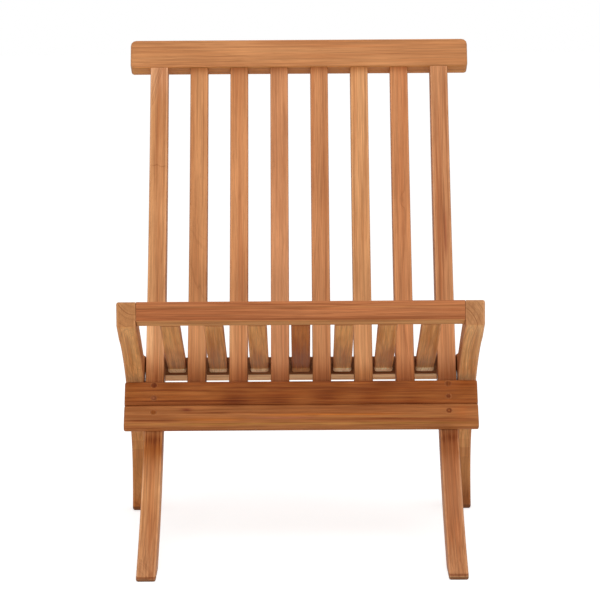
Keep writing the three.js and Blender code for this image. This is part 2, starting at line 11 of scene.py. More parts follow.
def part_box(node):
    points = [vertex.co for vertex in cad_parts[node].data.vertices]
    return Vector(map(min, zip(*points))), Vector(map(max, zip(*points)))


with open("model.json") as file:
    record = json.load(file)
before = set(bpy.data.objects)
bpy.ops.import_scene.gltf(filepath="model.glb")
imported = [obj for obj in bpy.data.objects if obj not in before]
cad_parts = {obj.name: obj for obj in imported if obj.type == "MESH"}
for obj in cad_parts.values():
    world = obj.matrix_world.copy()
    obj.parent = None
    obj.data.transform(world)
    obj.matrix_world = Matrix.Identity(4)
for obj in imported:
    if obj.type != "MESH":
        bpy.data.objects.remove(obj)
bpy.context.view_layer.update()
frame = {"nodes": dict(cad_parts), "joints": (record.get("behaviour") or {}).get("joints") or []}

# The looks of a low folding chair of oiled teak: grain for each piece, bright metal at the pivots,
# a white studio floor and soft light. Metres, +Z up, the chair's front towards -Y.

nodes = frame["nodes"]
pivot = Vector(frame["joints"][0]["pos_m"])

# ---- Driving values ----
CAMERA_BEFORE_PIVOT = 4.6665
CAMERA_HEIGHT = 1.0385
CAMERA_ASIDE = -0.0008
CAMERA_PITCH = 8.2525  # degrees down
CAMERA_ROLL = -0.37
LENS = 180.0  # millimetres
SENSOR = 36.0

AMBIENT = 0.51  # the white all round, as a light
AIM_HEIGHT = 0.4  # of the point that every softbox faces
# Softboxes: name, place, (width, height) and watts.
SOFTBOXES = (
    ("front_softbox", (-0.6, -3.6, 2.3), (2.4, 1.8), 28),
    ("overhead_softbox", (0.4, -0.6, 2.9), (2.6, 2.0), 23),
    ("low_fill", (0.2, -3.3, 0.32), (3.2, 0.5), 20),
)
FLOOR_REACH = 12.0
FLOOR_ALBEDO = 0.82
FLOOR_GLOW = 0.60

# Linear colours of the wood between its dark growth lines, and of the metals.
HONEY = (0.60, 0.262, 0.100)
TAWNY = (0.50, 0.190, 0.066)
UMBER = (0.30, 0.088, 0.022)
KNOT = (0.075, 0.022, 0.008)
BRASS = (0.62, 0.42, 0.16)
STEEL = (0.60, 0.59, 0.57)

# Tints, by which the colour of a piece's wood is multiplied.
GROWTH_LINE = (0.48, 0.38, 0.30)
PALE_PATCH = (1.10, 1.13, 1.16)
DUSKY_PATCH = (0.88, 0.83, 0.79)
RED_STREAK = (0.80, 0.63, 0.52)
LIGHT_STREAK = (1.14, 1.22, 1.26)
DARK_THREAD = (0.66, 0.55, 0.46)
LIGHT_THREAD = (1.22, 1.30, 1.36)
STAIN = (0.45, 0.34, 0.28)
CUT_END = (0.70, 0.72, 0.66)
# Arrises are pale partly from wear and partly from a painted highlight.
ARRIS_WEAR_AND_SHEEN = (1.38, 1.55, 1.80)
SOILED_FOOT = (0.26, 0.20, 0.18)

SHEEN = 0.15  # of oiled wood
SOILED_HEIGHT = 0.006  # up to which the feet are dark
ARRIS_REACH = 0.0026  # how far round an arris is felt
UNDERSIDE = (0.0, -0.35, -0.937)  # where the faces look that are given painted light from the floor
STRAY = (0.010, 0.0022, 0.0)  # how far a mark's edges stray along, across and through
NARROW, TALL = 0.04, 0.1  # a bent strip is narrower and taller than this
BEND_DEGREE = 6  # of the curve that the grain follows in a bent strip
BEND_SLICES = 24  # through which the curve is drawn
SEARCH_STEPS = 400  # along a piece, to find the place at some height
SHARP_ANGLE = 50  # degrees, more than an eased edge turns at a time
TONE_SEED = 1000
GRAIN_SEED = 40


# ---- Node graphs ----
class Graph:
    """The nodes of a material or a world, with short calls for those used again and again."""

    def __init__(self, owner):
        owner.use_nodes = True
        self.owner = owner
        self.tree = owner.node_tree

    def inputs(self, node_name):
        return self.tree.nodes[node_name].inputs

    def put(self, value, socket):
        if isinstance(value, bpy.types.NodeSocket):
            self.tree.links.new(value, socket)
        elif value is not None:
            socket.default_value = value

    def node(self, kind, inputs=None, **settings):
        node = self.tree.nodes.new(kind)
        for key, value in settings.items():
            setattr(node, key, value)
        for key, value in (inputs or {}).items():
            self.put(value, node.inputs[key])
        return node

    def math(self, operation, a, b=None, c=None):
        node = self.node("ShaderNodeMath", {0: a}, operation=operation)
        self.put(b, node.inputs[1])
        self.put(c, node.inputs[2])
        return node.outputs[0]

    def vector(self, operation, a, b=None, output=0):
        node = self.node("ShaderNodeVectorMath", {0: a}, operation=operation)
        self.put(b, node.inputs[1])
        return node.outputs[output]

    def split(self, vector):
        return self.node("ShaderNodeSeparateXYZ", {"Vector": vector}).outputs

    def grey(self, value):
        return self.node("ShaderNodeCombineColor", {0: value, 1: value, 2: value}).outputs[0]

    def noise(self, where, scale, detail=2.0, roughness=0.5, output="Fac"):
        """Noise from 0 to 1 about 0.5, its scale given for each axis in cycles per metre."""
        inputs = {
            "Vector": self.vector("MULTIPLY", where, scale),
            "Scale": 1.0,
            "Detail": detail,
            "Roughness": roughness,
        }
        return self.node("ShaderNodeTexNoise", inputs).outputs[output]

    def ramp(self, value, stops):
        """A grey ramp: stops are (place, level)."""
        node = self.node("ShaderNodeValToRGB", {"Fac": value})
        elements = node.color_ramp.elements
        while len(elements) < len(stops):
            elements.new(0.5)
        for element, (place, level) in zip(elements, stops):
            element.position = place
            element.color = (level, level, level, 1.0)
        return node.outputs["Color"]

    def range(self, value, low, high, new_low=0.0, new_high=1.0):
        inputs = {0: value, 1: low, 2: high, 3: new_low, 4: new_high}
        return self.node("ShaderNodeMapRange", inputs, interpolation_type="SMOOTHSTEP").outputs[0]

    def bell(self, squared, steepness=1.0):
        """1 where a squared distance is 0, falling off to 0 round it."""
        return self.math("POWER", math.e, self.math("MULTIPLY", squared, -steepness))

    def blend(self, factor, a, b, mode="MIX"):
        node = self.node("ShaderNodeMix", {"Factor": factor}, data_type="RGBA", blend_type=mode)
        for value, key in ((a, "A"), (b, "B")):
            socket = [s for s in node.inputs if s.name == key and s.type == "RGBA"][0]
            self.put((*value, 1.0) if isinstance(value, tuple) else value, socket)
        return [s for s in node.outputs if s.type == "RGBA"][0]

    def tint(self, factor, colour, tint):
        """The colour multiplied by a tint, as far as the factor says."""
        return self.blend(factor, colour, self.blend(1.0, colour, tint, "MULTIPLY"))

    def bump(self, height, strength, distance):
        inputs = {"Height": height, "Strength": strength, "Distance": distance}
        return self.node("ShaderNodeBump", inputs).outputs[0]

    def unbroken_rays(self):
        """1 for the rays that come from the camera, straight or through a mirror or glass."""
        path = self.node("ShaderNodeLightPath").outputs
        seen = self.math("MAXIMUM", path["Is Camera Ray"], path["Is Glossy Ray"])
        return self.math("MAXIMUM", seen, path["Is Transmission Ray"])


class Piece:
    """A piece's middle, its axes (along, across and through) and the bend of its middle line."""

    def __init__(self, node):
        points = [v.co for v in node.data.vertices]
        self.middle = sum(points, Vector()) / len(points)
        low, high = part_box(node.name)
        size = high - low
        if size.x > max(size.y, size.z):
            # The wood lies across the chair: its widest long face tells which way it leans.
            areas = {}
            for face in node.data.polygons:
                if abs(face.normal.x) < 0.1 and face.normal.y < 0:
                    key = tuple(round(c, 2) for c in face.normal)
                    areas[key] = areas.get(key, 0.0) + face.area
            along = Vector((1, 0, 0))
            through = Vector(max(areas, key=areas.get)).normalized()
        else:
            along = self.longest(points, size)
            through = along.cross(Vector((1, 0, 0))).normalized()
        self.axes = Matrix((along, through.cross(along), through))
        local = [self.axes @ (p - self.middle) for p in points]
        self.ends = (min(p.x for p in local), max(p.x for p in local))
        bent_strip = size.x < NARROW and size.z > TALL
        self.bend = self.fit_bend(node, local) if bent_strip else None

    def longest(self, points, size):
        """The direction, square to X, in which the points spread furthest: it points up or back."""
        spread = Matrix(((0, 0, 0),) * 3)
        for p in points:
            d = p - self.middle
            for i in range(3):
                for j in range(3):
                    spread[i][j] += d[i] * d[j]
        # A few steps of power iteration find it, from a rough first guess.
        along = Vector((size.x, size.y * 0.7, size.z * 0.9)).normalized()
        for _ in range(40):
            along = (spread @ along).normalized()
        if along[max(range(3), key=lambda i: abs(along[i]))] < 0:
            along.negate()
        return Vector((0, along.y, along.z)).normalized()

    def fit_bend(self, node, local):
        """A polynomial through the middles of slices cut across the piece."""
        low, high = self.ends
        places, middles = [], []
        for number in range(BEND_SLICES):
            station = low + (high - low) * (number + 0.5) / BEND_SLICES
            cut = []
            for edge in node.data.edges:
                p, q = (local[i] for i in edge.vertices)
                if (p.x - station) * (q.x - station) < 0:
                    cut.append(p.z + (q.z - p.z) * (station - p.x) / (q.x - p.x))
            if cut:
                places.append(station)
                middles.append((min(cut) + max(cut)) / 2)
        return [float(c) for c in numpy.polyfit(places, middles, BEND_DEGREE)]

    def along_at(self, height, through=0.0):
        """How far along the piece a line at some depth in it has a height above the floor."""
        low, high = self.ends
        steps = range(SEARCH_STEPS + 1)
        places = (low + (high - low) * step / SEARCH_STEPS for step in steps)
        return min(places, key=lambda along: abs(self.height_at(along, through) - height))

    def height_at(self, along, through):
        if self.bend:
            through += float(numpy.polyval(self.bend, along))
        return (self.middle + self.axes.transposed() @ Vector((along, 0, through))).z


# ---- Wood and metal ----
class Teak:
    """Oiled teak sawn along a piece, its grain bent a little with the piece.

    albedo is its colour between the growth lines. look says how its grain differs from plain:
    lines, streaks, patches and stains are strengths; short is how much shorter its streaks
    are; spacing is a ring's width and sway how far the rings stray; heart is where
    the rings' middle lies (across, through); below is the tint of painted light on the faces
    that look down and cut that of the cut ends; worn is how far the arrises are rubbed pale and
    lit by a painted highlight, and soiled the height to which the foot is dark. knots (along,
    across, radius) and marks (along, across, half length, half width, tint, strength) lie on its
    face, measured from the piece's middle; discs (radius, tint) lie round that middle; and
    shades (height, half height, tint), painted shade and painted light among them, go right
    round it.
    """

    def __init__(self, name, piece, albedo, seed, look):
        rng = random.Random(seed)
        self.graph = g = Graph(bpy.data.materials.new(name))
        self.material = g.owner
        self.piece, self.albedo, self.look = piece, albedo, look

        # Where a point lies in the object, and along, across and through the straightened piece.
        place = g.node("ShaderNodeTexCoord").outputs
        self.normal = place["Normal"]
        self.height = g.split(place["Object"])["Z"]
        offset = tuple(rng.uniform(-9, 9) for _ in range(3))
        self.local = self.straightened(place["Object"])
        self.seeded = g.vector("ADD", self.local, offset)

        self.growth_rings(rng)
        self.fine_grain()
        colour = self.weathered(self.marked(self.sawn()))
        shader = g.inputs("Principled BSDF")
        g.put(colour, shader["Base Color"])
        rough = g.math("MULTIPLY_ADD", self.late, -0.06, g.range(self.hair, 0.2, 0.8, 0.54, 0.66))
        g.put(g.math("MULTIPLY_ADD", self.pores, 0.12, rough), shader["Roughness"])
        g.put(SHEEN, shader["Specular IOR Level"])
        relief = g.math("MULTIPLY_ADD", self.late, 0.5, g.math("MULTIPLY", self.hair, 0.7))
        relief = g.math("MULTIPLY_ADD", self.pores, -0.8, relief)
        g.put(g.bump(relief, 0.4, 0.00025), shader["Normal"])

    def tinted(self, tint):
        return tuple(a * t for a, t in zip(self.albedo, tint))

    def straightened(self, place):
        """Turns a place to the piece's axes and takes the piece's bend out of it."""
        g, turn = self.graph, self.piece.axes
        inputs = {
            "Vector": place,
            "Location": -(turn @ self.piece.middle),
            "Rotation": turn.to_euler(),
        }
        local = g.node("ShaderNodeMapping", inputs, vector_type="POINT").outputs[0]
        if not self.piece.bend:
            return local
        apart = g.split(local)
        bend = self.piece.bend[0]
        for factor in self.piece.bend[1:]:
            bend = g.math("MULTIPLY_ADD", apart["X"], bend, factor)
        unbent = g.math("SUBTRACT", apart["Z"], bend)
        straight = {"X": apart["X"], "Y": apart["Y"], "Z": unbent}
        return g.node("ShaderNodeCombineXYZ", straight).outputs[0]

    def growth_rings(self, rng):
        """Sets late, the dark wood that ends each year's growth, and knot, the dark of knots."""
        # Rings are shells round a heart beside the piece, a little out of line with it.
        g, look = self.graph, self.look
        angle = rng.uniform(0, 2 * math.pi)
        distance = rng.uniform(0.05, 0.13)
        beside = (distance * math.cos(angle), distance * math.sin(angle))
        heart = (0.0, *look.get("heart", beside))
        apart = g.split(g.vector("SUBTRACT", self.local, heart))
        across_2 = g.math("POWER", apart["Y"], 2.0)
        through_2 = g.math("POWER", apart["Z"], 2.0)
        radius = g.math("SQRT", g.math("ADD", across_2, through_2))
        lean = rng.choice((-1, 1)) * rng.uniform(0.004, 0.02)
        radius = g.math("MULTIPLY_ADD", apart["X"], lean, radius)
        sway = g.noise(self.seeded, (2.0, 6.0, 6.0), detail=1.0)
        radius = g.math("MULTIPLY_ADD", sway, look.get("sway", 0.024), radius)
        wander = g.noise(self.seeded, (9.0, 60.0, 60.0))
        radius = g.math("MULTIPLY_ADD", wander, 0.0022, radius)

        # Rings swell softly round each knot, which is dark at its heart.
        self.knot = None
        for along, across, size in look["knots"]:
            off = g.vector("SUBTRACT", self.local, (along, across, 0.0))
            off = g.vector("MULTIPLY", off, (0.5, 1.0, 0.2))
            near = g.vector("LENGTH", off, output="Value")
            squared = g.math("POWER", g.math("DIVIDE", near, size), 2.0)
            radius = g.math("MULTIPLY_ADD", g.bell(squared, 0.45), size * 1.3, radius)
            core = g.bell(squared, 1.8)
            self.knot = core if self.knot is None else g.math("MAXIMUM", self.knot, core)

        # They are of uneven width, some strong and some hardly there.
        spacing = look.get("spacing", rng.uniform(0.0034, 0.0056))
        rings = g.math("DIVIDE", radius, spacing)
        slow = g.math("MULTIPLY", rings, 0.45)
        uneven = g.node("ShaderNodeTexNoise", {"W": slow}, noise_dimensions="1D").outputs["Fac"]
        rings = g.math("MULTIPLY_ADD", uneven, 1.9, rings)
        year = [(0.0, 0.7), (0.10, 0.10), (0.45, 0.0), (0.72, 0.20), (0.93, 1.0), (1.0, 0.7)]
        late = g.ramp(g.math("FRACT", rings), year)
        number = g.math("FLOOR", rings)
        each = g.node("ShaderNodeTexWhiteNoise", {"W": number}, noise_dimensions="1D")
        strong = g.range(each.outputs["Value"], 0.10, 1.0, 0.25, 1.0)
        there = g.noise(self.seeded, (1.6, 14.0, 14.0), detail=1.0)
        there = g.range(there, 0.36, 0.64, 0.40, 1.0)
        self.late = g.math("MULTIPLY", late, g.math("MULTIPLY", strong, there))

    def fine_grain(self):
        """Sets the noises of the grain, from the finest lines to broad patches."""
        g = self.graph
        # In a bent piece the grain is drawn out more through it, where its faces taper.
        deep = 0.45 if self.piece.bend else 1.0
        short = self.look.get("short", 1.0)

        def drawn_out(along, across, **settings):
            return g.noise(self.seeded, (along, across, across * deep), **settings)

        self.hair = drawn_out(5.0 * short, 560.0, roughness=0.6)
        self.thread = drawn_out(1.8 * short, 250.0, roughness=0.55)
        self.pores = g.range(drawn_out(26.0, 1400.0, detail=1.0), 0.58, 0.72)
        self.patch = drawn_out(2.4 * short, 15.0)
        self.streak = drawn_out(1.2 * short, 80.0)

    def sawn(self):
        """The colour of the sawn wood: patches, streaks, threads, rings, hairs and pores."""
        g, look = self.graph, self.look
        lines = look.get("lines", 1.0)
        streaks = look.get("streaks", 1.0)
        patches = look.get("patches", 1.0)
        pale, dusky = (
            self.tinted(1 + (c - 1) * patches for c in tint) for tint in (PALE_PATCH, DUSKY_PATCH)
        )
        colour = g.blend(g.range(self.patch, 0.36, 0.64), pale, dusky)
        for tint, noise, low, high, at_low, at_high in (
            (RED_STREAK, self.streak, 0.50, 0.66, 0.0, 0.75 * streaks),
            (LIGHT_STREAK, self.streak, 0.34, 0.46, 0.65 * streaks, 0.0),
            (DARK_THREAD, self.thread, 0.50, 0.66, 0.0, 0.60 * lines),
            (LIGHT_THREAD, self.thread, 0.36, 0.48, 0.40 * lines, 0.0),
        ):
            strength = g.range(noise, low, high, min(1.0, at_low), min(1.0, at_high))
            colour = g.blend(strength, colour, self.tinted(tint))
        line = self.tinted(GROWTH_LINE)
        colour = g.blend(g.math("MULTIPLY", self.late, min(1.0, 0.72 * lines)), colour, line)
        hairs = g.grey(g.range(self.hair, 0.30, 0.70, 0.84, 1.12))
        colour = g.blend(1.0, colour, hairs, "MULTIPLY")
        colour = g.blend(g.math("MULTIPLY", self.pores, 0.38), colour, line)
        if "stains" in look:
            cloud = g.noise(self.seeded, (9.0, 34.0, 34.0), detail=3.0, roughness=0.6)
            dark = g.range(cloud, 0.47, 0.66, 0.0, look["stains"])
            colour = g.blend(dark, colour, self.tinted(STAIN))
        return colour

    def marked(self, colour):
        """Adds the marks, whose edges are ragged and stray a little, the knots and the discs."""
        g, look = self.graph, self.look
        ragged = g.range(self.thread, 0.36, 0.60, 0.55, 1.0)
        astray = g.noise(self.seeded, (14.0, 120.0, 120.0), output="Color")
        strayed = g.vector("ADD", self.local, g.vector("MULTIPLY", astray, STRAY))
        for along, across, half_length, half_width, tint, strength in look["marks"]:
            # The noise is 0.5 on average, so half the stray centres a mark again.
            middle = (along + STRAY[0] / 2, across + STRAY[1] / 2, 0.0)
            off = g.split(g.vector("SUBTRACT", strayed, middle))
            # The ends of a long mark fade quickly.
            fade = 4.0 if half_length > 5 * half_width else 2.0
            lengthwise = g.math("POWER", g.math("DIVIDE", off["X"], half_length), fade)
            sideways = g.math("POWER", g.math("DIVIDE", off["Y"], half_width), 2.0)
            there = g.math("MULTIPLY", g.bell(g.math("ADD", lengthwise, sideways)), ragged)
            colour = g.tint(g.math("MULTIPLY", there, strength), colour, tint)
        if self.knot is not None:
            colour = g.blend(g.math("MULTIPLY", self.knot, 0.85), colour, KNOT)
        for size, tint in look.get("discs", ()):
            off = g.vector("MULTIPLY", self.local, (1.0, 1.0, 0.0))
            distance = g.vector("LENGTH", off, output="Value")
            inside = g.range(distance, 0.75 * size, 1.25 * size, 1.0, 0.0)
            colour = g.tint(inside, colour, tint)
        return colour

    def weathered(self, colour):
        """Adds undersides with painted light, cut ends, arrises pale from wear and a painted
        highlight, the shades (painted shade and light among them) and the soiled foot.
        """
        g, look = self.graph, self.look
        # Painted light: the faces that look down are lightened and yellowed, as light from the
        # white floor would.
        if "below" in look:
            down = g.vector("DOT_PRODUCT", self.normal, UNDERSIDE, output="Value")
            colour = g.tint(g.range(down, 0.55, 0.95), colour, look["below"])

        # Cut ends show the rings crisply.
        facing = g.vector("DOT_PRODUCT", self.normal, tuple(self.piece.axes[0]), output="Value")
        ends = g.range(g.math("ABSOLUTE", facing), 0.52, 0.74)
        cut = self.tinted(look.get("cut", CUT_END))
        colour = g.blend(g.math("MULTIPLY", ends, 0.5), colour, cut)
        rings = g.math("MULTIPLY", ends, g.math("MULTIPLY", self.late, 0.75))
        colour = g.blend(rings, colour, self.tinted(GROWTH_LINE))

        # Wear and painted highlight: the arrises are made pale.
        wear_and_sheen = g.math("MULTIPLY", self.arrises(), look.get("wear_and_sheen", 0.5))
        colour = g.blend(wear_and_sheen, colour, self.tinted(ARRIS_WEAR_AND_SHEEN))

        for level, reach, tint in look["shades"]:
            far = g.math("DIVIDE", g.math("SUBTRACT", self.height, level), reach)
            colour = g.tint(g.bell(g.math("POWER", far, 2.0)), colour, tint)

        sole = look.get("soiled", SOILED_HEIGHT)
        uneven = g.math("MULTIPLY_ADD", self.streak, 0.004, self.height)
        soiled = g.range(uneven, sole, sole + 0.002, 0.80, 0.0)
        return g.blend(soiled, colour, self.tinted(SOILED_FOOT))

    def arrises(self):
        """1 on the rounded arrises, less where they are hardly rubbed; it places their wear and
        their painted highlight.
        """
        g = self.graph
        soft = g.node("ShaderNodeBevel", {"Radius": ARRIS_REACH}, samples=4).outputs[0]
        true = g.node("ShaderNodeNewGeometry").outputs["True Normal"]
        agree = g.vector("DOT_PRODUCT", soft, true, output="Value")
        wear_and_sheen = g.range(agree, 0.80, 0.99, 1.0, 0.0)
        if self.piece.bend:
            # The rounded arrises of an upright piece face neither sideways nor to the front.
            sideways = g.math("ABSOLUTE", g.split(true)["X"])
            from_front = g.range(sideways, 0.20, 0.45)
            from_side = g.range(sideways, 0.84, 0.97, 1.0, 0.0)
            wear_and_sheen = g.math("MAXIMUM", wear_and_sheen, g.math("MULTIPLY", from_front, from_side))
        rubbed = g.range(g.noise(self.seeded, (30.0, 60.0, 60.0)), 0.3, 0.7, 0.35, 1.0)
        return g.math("MULTIPLY", wear_and_sheen, rubbed)


def metal(name, colour, roughness, seed):
    """Turned metal: its fine lines follow one another along X, and it is dull in places."""
    g = Graph(bpy.data.materials.new(name))
    rng = random.Random(seed)
    place = g.node("ShaderNodeTexCoord").outputs["Object"]
    seeded = g.vector("ADD", place, tuple(rng.uniform(-5, 5) for _ in range(3)))
    lines = g.noise(seeded, (2600.0, 90.0, 90.0))
    stain = g.noise(seeded, (120.0,) * 3, detail=3.0)
    dull = tuple(c * 0.62 for c in colour)
    shader = g.inputs("Principled BSDF")
    g.put(g.blend(g.range(stain, 0.45, 0.75, 0.0, 0.7), colour, dull), shader["Base Color"])
    g.put(1.0, shader["Metallic"])
    turned = g.range(lines, 0.2, 0.8, roughness - 0.07, roughness + 0.09)
    g.put(g.math("ADD", turned, g.math("MULTIPLY", stain, 0.08)), shader["Roughness"])
    g.put(g.bump(lines, 0.2, 0.0001), shader["Normal"])
    return g.owner


# ---- Finishes for the CAD nodes ----
# Each family's wood: its tone from honey (0) to umber (2), how light it is, and its grain.
# DARK, DARK_PATCH and HAZE are tints of marks.
DARK = (0.55, 0.42, 0.34)
# DARK_PATCH darkens patches of the planks below the back slats.
DARK_PATCH = (0.66, 0.51, 0.38)
HAZE = (0.86, 0.78, 0.70)
FAMILIES = {
    "top_rail": (0.25, 1.02, {
        "lines": 0.6,
        "streaks": 0.5,
        "patches": 0.7,
        "short": 2.0,
        "below": (1.12, 1.10, 0.82),
    }),
    "back_side": (0.35, 1.02, {"lines": 0.9, "streaks": 1.0, "short": 2.0, "wear_and_sheen": 0.95}),
    "back_slat": (0.30, 1.03, {"lines": 0.65, "streaks": 0.6, "short": 1.6}),
    "seat_side": (0.35, 0.96, {
        "lines": 0.9,
        "below": (1.36, 1.60, 1.56),
        "cut": (0.80, 0.88, 0.88),
        "spacing": 0.0060,
        "sway": 0.008,
        "short": 2.0,
        "wear_and_sheen": 0.7,
        "soiled": 0.008,
    }),
    "seat_slat": (0.60, 1.0, {
        "lines": 0.8,
        "streaks": 1.1,
        "patches": 1.4,
        "short": 2.5,
        "below": (1.25, 1.46, 1.36),
    }),
    "front_rail": (0.95, 0.90, {
        "lines": 1.6,
        "streaks": 0.7,
        "patches": 0.6,
        "short": 2.0,
        "marks": [(0.0, 0.0146, 0.300, 0.0016, (1.06, 1.18, 1.12), 1.0)],
        "below": (1.30, 1.80, 1.90),
        "spacing": 0.0030,
    }),
    # The crossbar's dark tone is partly its own wood and partly painted shade on its front face;
    # its below tint is painted light on its underside.
    "rear_crossbar": (0.60, 0.52, {"short": 2.0, "below": (4.3, 6.8, 10.0)}),
    "plank_dowel": (0.30, 1.0, {}),
    "upper_plank": (1.75, 1.12, {
        "streaks": 1.0,
        "lines": 0.9,
        "stains": 0.35,
        "short": 3.0,
        "marks": [
            # Painted shadow where the seat sides come down by the plank's top edge.
            (-0.262, 0.0205, 0.013, 0.0018, DARK, 1.0),
            (0.262, 0.0205, 0.013, 0.0018, DARK, 1.0),
            (0.02, -0.0200, 0.215, 0.0100, (0.80, 0.74, 0.66), 1.0),
            (-0.14, -0.0165, 0.130, 0.0013, DARK, 1.0),
            (-0.107, -0.0170, 0.022, 0.0100, DARK_PATCH, 1.0),
            (-0.036, -0.0160, 0.024, 0.0100, DARK_PATCH, 1.0),
            (0.038, -0.0150, 0.024, 0.0110, DARK_PATCH, 1.0),
            (0.106, -0.0150, 0.024, 0.0110, DARK_PATCH, 1.0),
            (0.172, -0.0170, 0.022, 0.0090, DARK_PATCH, 0.9),
            (-0.107, 0.0000, 0.020, 0.0240, HAZE, 1.0),
            (-0.036, 0.0000, 0.022, 0.0240, HAZE, 1.0),
            (0.038, 0.0000, 0.022, 0.0240, HAZE, 1.0),
            (0.106, 0.0000, 0.020, 0.0240, HAZE, 1.0),
            (-0.20, 0.0030, 0.060, 0.0022, (0.74, 0.62, 0.54), 1.0),
            (0.00, 0.0060, 0.110, 0.0020, (0.74, 0.62, 0.54), 1.0),
            (0.22, -0.0010, 0.050, 0.0020, (0.62, 0.44, 0.36), 1.0),
            (0.10, -0.0050, 0.120, 0.0014, (1.22, 1.28, 1.24), 1.0),
            (0.20, 0.0185, 0.060, 0.0020, (1.16, 1.34, 1.24), 0.9),
        ],
    }),
    "lower_plank": (1.35, 1.14, {
        "lines": 0.9,
        "streaks": 0.9,
        "stains": 0.2,
        "short": 3.0,
        "marks": [
            (-0.107, 0.0180, 0.022, 0.0080, DARK_PATCH, 0.8),
            (-0.036, 0.0180, 0.024, 0.0090, DARK_PATCH, 0.8),
            (0.038, 0.0180, 0.024, 0.0090, DARK_PATCH, 0.8),
            (0.106, 0.0180, 0.024, 0.0090, DARK_PATCH, 0.8),
            (0.02, 0.0030, 0.190, 0.0050, (0.84, 0.78, 0.74), 0.9),
            (-0.178, 0.0070, 0.0085, 0.0042, (0.58, 0.38, 0.44), 1.0),
            (-0.15, 0.0005, 0.040, 0.0016, DARK, 1.0),
            (-0.15, -0.0022, 0.115, 0.0011, (1.30, 1.46, 1.60), 1.0),
            (0.04, -0.0036, 0.105, 0.0018, (1.50, 1.20, 0.55), 1.0),
            (-0.03, -0.0095, 0.050, 0.0018, (1.10, 1.02, 1.50), 1.0),
            (-0.235, -0.0140, 0.045, 0.0026, (0.62, 0.42, 0.32), 1.0),
            (-0.14, -0.0120, 0.055, 0.0032, (1.10, 0.94, 0.58), 0.9),
            (0.12, -0.0080, 0.120, 0.0018, (1.16, 1.26, 1.14), 0.9),
            (0.17, -0.0130, 0.100, 0.0020, (0.70, 0.50, 0.38), 1.0),
            (0.25, 0.0000, 0.012, 0.0120, (1.16, 0.94, 0.75), 0.7),
            (0.00, -0.0205, 0.280, 0.0018, (1.06, 1.30, 0.95), 0.9),
        ],
    }),
    "plank_plug": (1.75, 1.05, {"lines": 0.6, "wear_and_sheen": 0.1}),
}
# Single pieces lighter, darker, redder or yellower than their family.
TINTS = {
    "back_side_left": (1.08, 1.14, 1.22),
    "back_side_right": (0.98, 0.99, 1.10),
    "back_slat_1": (1.00, 1.01, 1.04),
    "back_slat_2": (1.05, 1.03, 1.07),
    "back_slat_3": (1.01, 1.01, 1.15),
    "back_slat_4": (0.94, 0.90, 0.93),
    "back_slat_5": (1.16, 1.27, 1.38),
    "back_slat_6": (1.04, 1.00, 1.05),
    "front_rail": (1.03, 0.92, 0.91),
    "seat_side_left": (1.06, 1.08, 1.06),
    "seat_side_right": (1.03, 1.09, 1.18),
    "seat_slat_4": (0.70, 0.50, 0.36),
    "upper_plank": (1.12, 1.14, 0.93),
    "lower_plank": (0.88, 0.89, 0.81),
    "plank_plug_3": (1.12, 1.18, 1.20),
    "plank_plug_6": (1.12, 1.18, 1.20),
}
# Looks of single pieces, on top of their family's.
OWN_LOOKS = {
    "seat_side_left": {"heart": (0.012, -0.024)},
    "seat_side_right": {"heart": (-0.030, 0.034)},
    "back_slat_5": {"lines": 1.0, "heart": (0.016, -0.05), "spacing": 0.0046},
    "back_side_right": {"streaks": 1.2},
    "plank_plug_1": {"discs": [(0.0042, (0.54, 0.38, 0.24))]},
    "plank_plug_2": {"discs": [(0.0040, (0.66, 0.58, 0.62)), (0.0014, (1.40, 1.60, 1.80))]},
    "plank_plug_3": {"discs": [(0.0036, (0.70, 0.57, 0.29))]},
    "plank_plug_4": {"discs": [(0.0036, (0.73, 0.61, 0.30))]},
    "plank_plug_5": {"discs": [(0.0034, (0.55, 0.41, 0.27))]},
    "plank_plug_6": {"discs": [(0.0042, (0.50, 0.36, 0.28)), (0.0016, (1.70, 2.10, 2.00))]},
}
# The tones of a side at heights above the floor: (height, half height, tint).
SIDE_SHADES = {
    "back_side_left": [
        (0.698, 0.030, (1.10, 1.17, 1.38)),
        # Painted shadow of the planks on the top of the leg.
        (0.149, 0.019, (0.72, 0.54, 0.30)),
        (0.095, 0.020, (1.16, 1.26, 1.32)),
        (0.018, 0.032, (0.84, 0.82, 0.84)),
        (0.0062, 0.0014, (0.46, 0.32, 0.22)),
        (0.0032, 0.0012, (1.30, 1.50, 1.70)),
    ],
    "back_side_right": [
        # Painted shadow of the planks on the top of the leg.
        (0.148, 0.014, (0.90, 0.83, 0.70)),
        (0.085, 0.026, (1.05, 1.13, 1.24)),
        (0.0076, 0.0015, (0.42, 0.30, 0.24)),
        (0.0040, 0.0018, (1.05, 1.40, 1.55)),
    ],
    "seat_side_left": [
        (0.150, 0.040, (0.86, 0.74, 0.76)),
        (0.060, 0.050, (1.02, 0.92, 0.74)),
        (0.006, 0.018, (0.80, 0.58, 0.34)),
    ],
    "seat_side_right": [
        (0.150, 0.040, (0.92, 0.80, 0.74)),
        (0.060, 0.050, (1.04, 0.94, 0.78)),
        (0.012, 0.030, (0.55, 0.40, 0.27)),
    ],
}
# The back's strips are darker and browner where they come down to the planks, and painted light
# above that lifts the shade under the seat.
BROWN_AT_PLANKS = (0.66, 0.53, 0.40)
FAINT_PAINTED_LIGHT = (1.03, 1.03, 1.03)
PAINTED_LIGHT_ABOVE_PLANKS = {
    "back_side_left": (1.34, 1.56, 1.80),
    "back_slat_1": (1.26, 1.38, 1.50),
    "back_slat_2": (1.27, 1.46, 1.60),
    "back_slat_4": (1.20, 1.34, 1.44),
    "back_side_right": (1.25, 1.26, 1.24),
}
# Painted shadow of the top rail on the tops of the slats.
PAINTED_SHADOW_UNDER_RAIL = (0.58, 0.43, 0.26)
